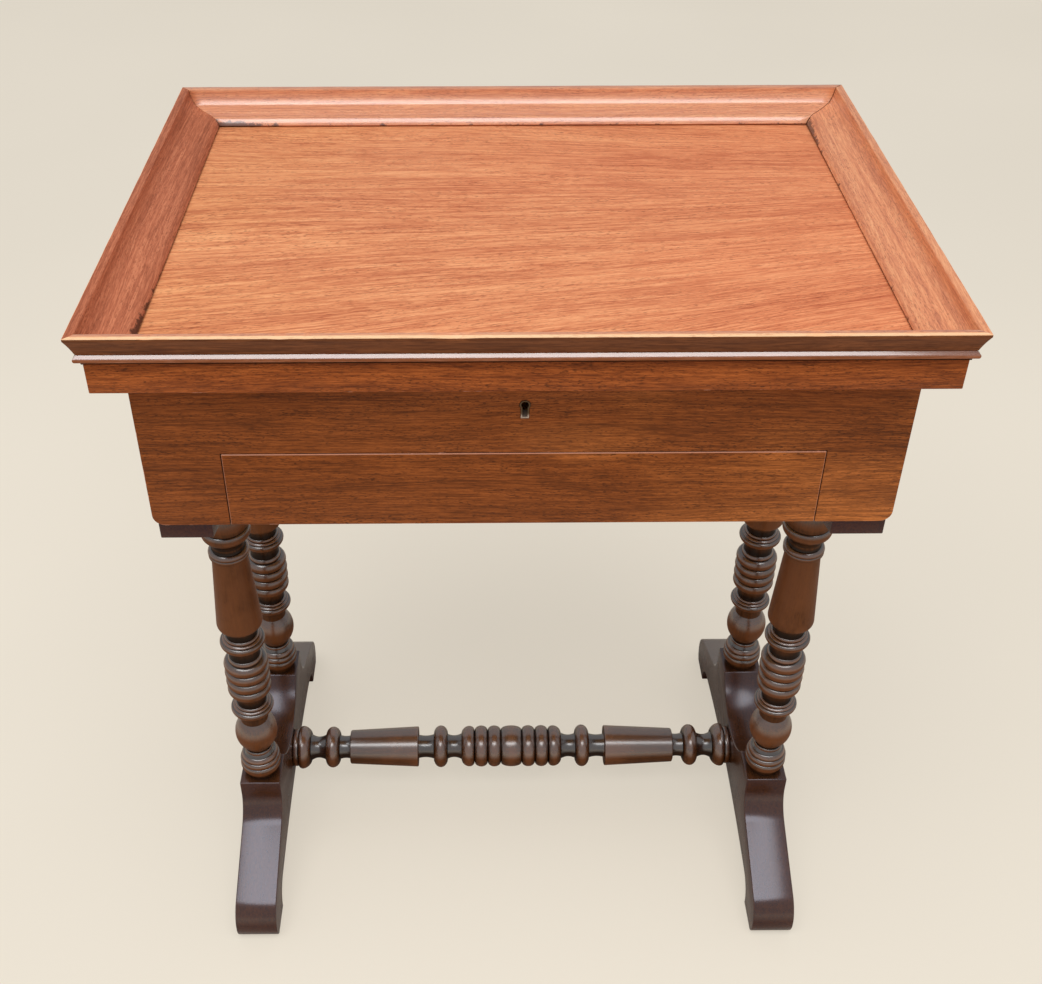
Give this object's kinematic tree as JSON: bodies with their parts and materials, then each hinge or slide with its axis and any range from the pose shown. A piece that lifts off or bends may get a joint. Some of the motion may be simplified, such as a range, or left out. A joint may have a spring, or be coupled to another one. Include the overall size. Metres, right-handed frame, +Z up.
{
  "type": "dressing table",
  "caption": "Dressing table with a lift-up lid with a sunk panel, a shallow case with a drawer, and trestle ends of turned legs on sledge feet joined by a turned stretcher.",
  "frame": {"origin": "on the floor under the middle of the lid", "axes": "+X to the sitter's right, +Y to the back where the hinges are, +Z up"},
  "size_m": [0.6, 0.4324, 0.7056],
  "materials": {
    "lid_panel": "waxed figured mahogany, orange",
    "lid_frame": "polished mahogany",
    "case": "polished mahogany, dark",
    "carcass": "plain dry secondary wood",
    "trestle": "glossy dark stained mahogany",
    "brass": "old brass",
    "mirror": "silvered glass"
  },
  "bodies": {
    "stand": {"case_back": "case", "case_front": "case", "case_hinge_leaves": "brass", "case_left_side": "case", "case_right_side": "case", "drawer_stops": "carcass", "front_left_leg": "trestle", "front_right_leg": "trestle", "hinge_pins": "brass", "keyhole_escutcheon": "brass", "left_bearer": "trestle", "left_bottom_board": "carcass", "left_drawer_partition": "carcass", "left_foot": "trestle", "left_runner": "carcass", "left_well_divider": "carcass", "lock_body": "brass", "rear_left_leg": "trestle", "rear_right_leg": "trestle", "right_bearer": "trestle", "right_bottom_board": "carcass", "right_drawer_partition": "carcass", "right_foot": "trestle", "right_runner": "carcass", "right_well_divider": "carcass", "stretcher": "trestle", "well_floor": "carcass"},
    "lid": {"lid_back_moulding": "lid_frame", "lid_back_rail": "lid_frame", "lid_front_moulding": "lid_frame", "lid_front_rail": "lid_frame", "lid_hinge_leaves": "brass", "lid_left_moulding": "lid_frame", "lid_left_rail": "lid_frame", "lid_panel": "lid_panel", "lid_right_moulding": "lid_frame", "lid_right_rail": "lid_frame", "mirror_back_strip": "carcass", "mirror_front_strip": "carcass", "mirror_glass": "mirror", "mirror_left_strip": "carcass", "mirror_right_strip": "carcass", "strike_plate": "brass"},
    "drawer": {"drawer_back": "carcass", "drawer_bottom": "carcass", "drawer_front": "case", "drawer_left_side": "carcass", "drawer_right_side": "carcass"},
    "lock_bolt": {"lock_bolt": "brass"}
  },
  "joints": [
    {"name": "lid_hinge", "type": "hinge", "parent": "stand", "child": "lid", "pos_m": [0, 0.192, 0.658], "axis": [-1, 0, 0], "range_deg": [0, 95]},
    {"name": "drawer_slide", "type": "slide", "parent": "stand", "child": "drawer", "axis": [0, -1, 0], "range_m": [0, 0.25]},
    {"name": "bolt_slide", "type": "slide", "parent": "stand", "child": "lock_bolt", "axis": [0, 0, 1], "range_m": [0, 0.006]}
  ]
}
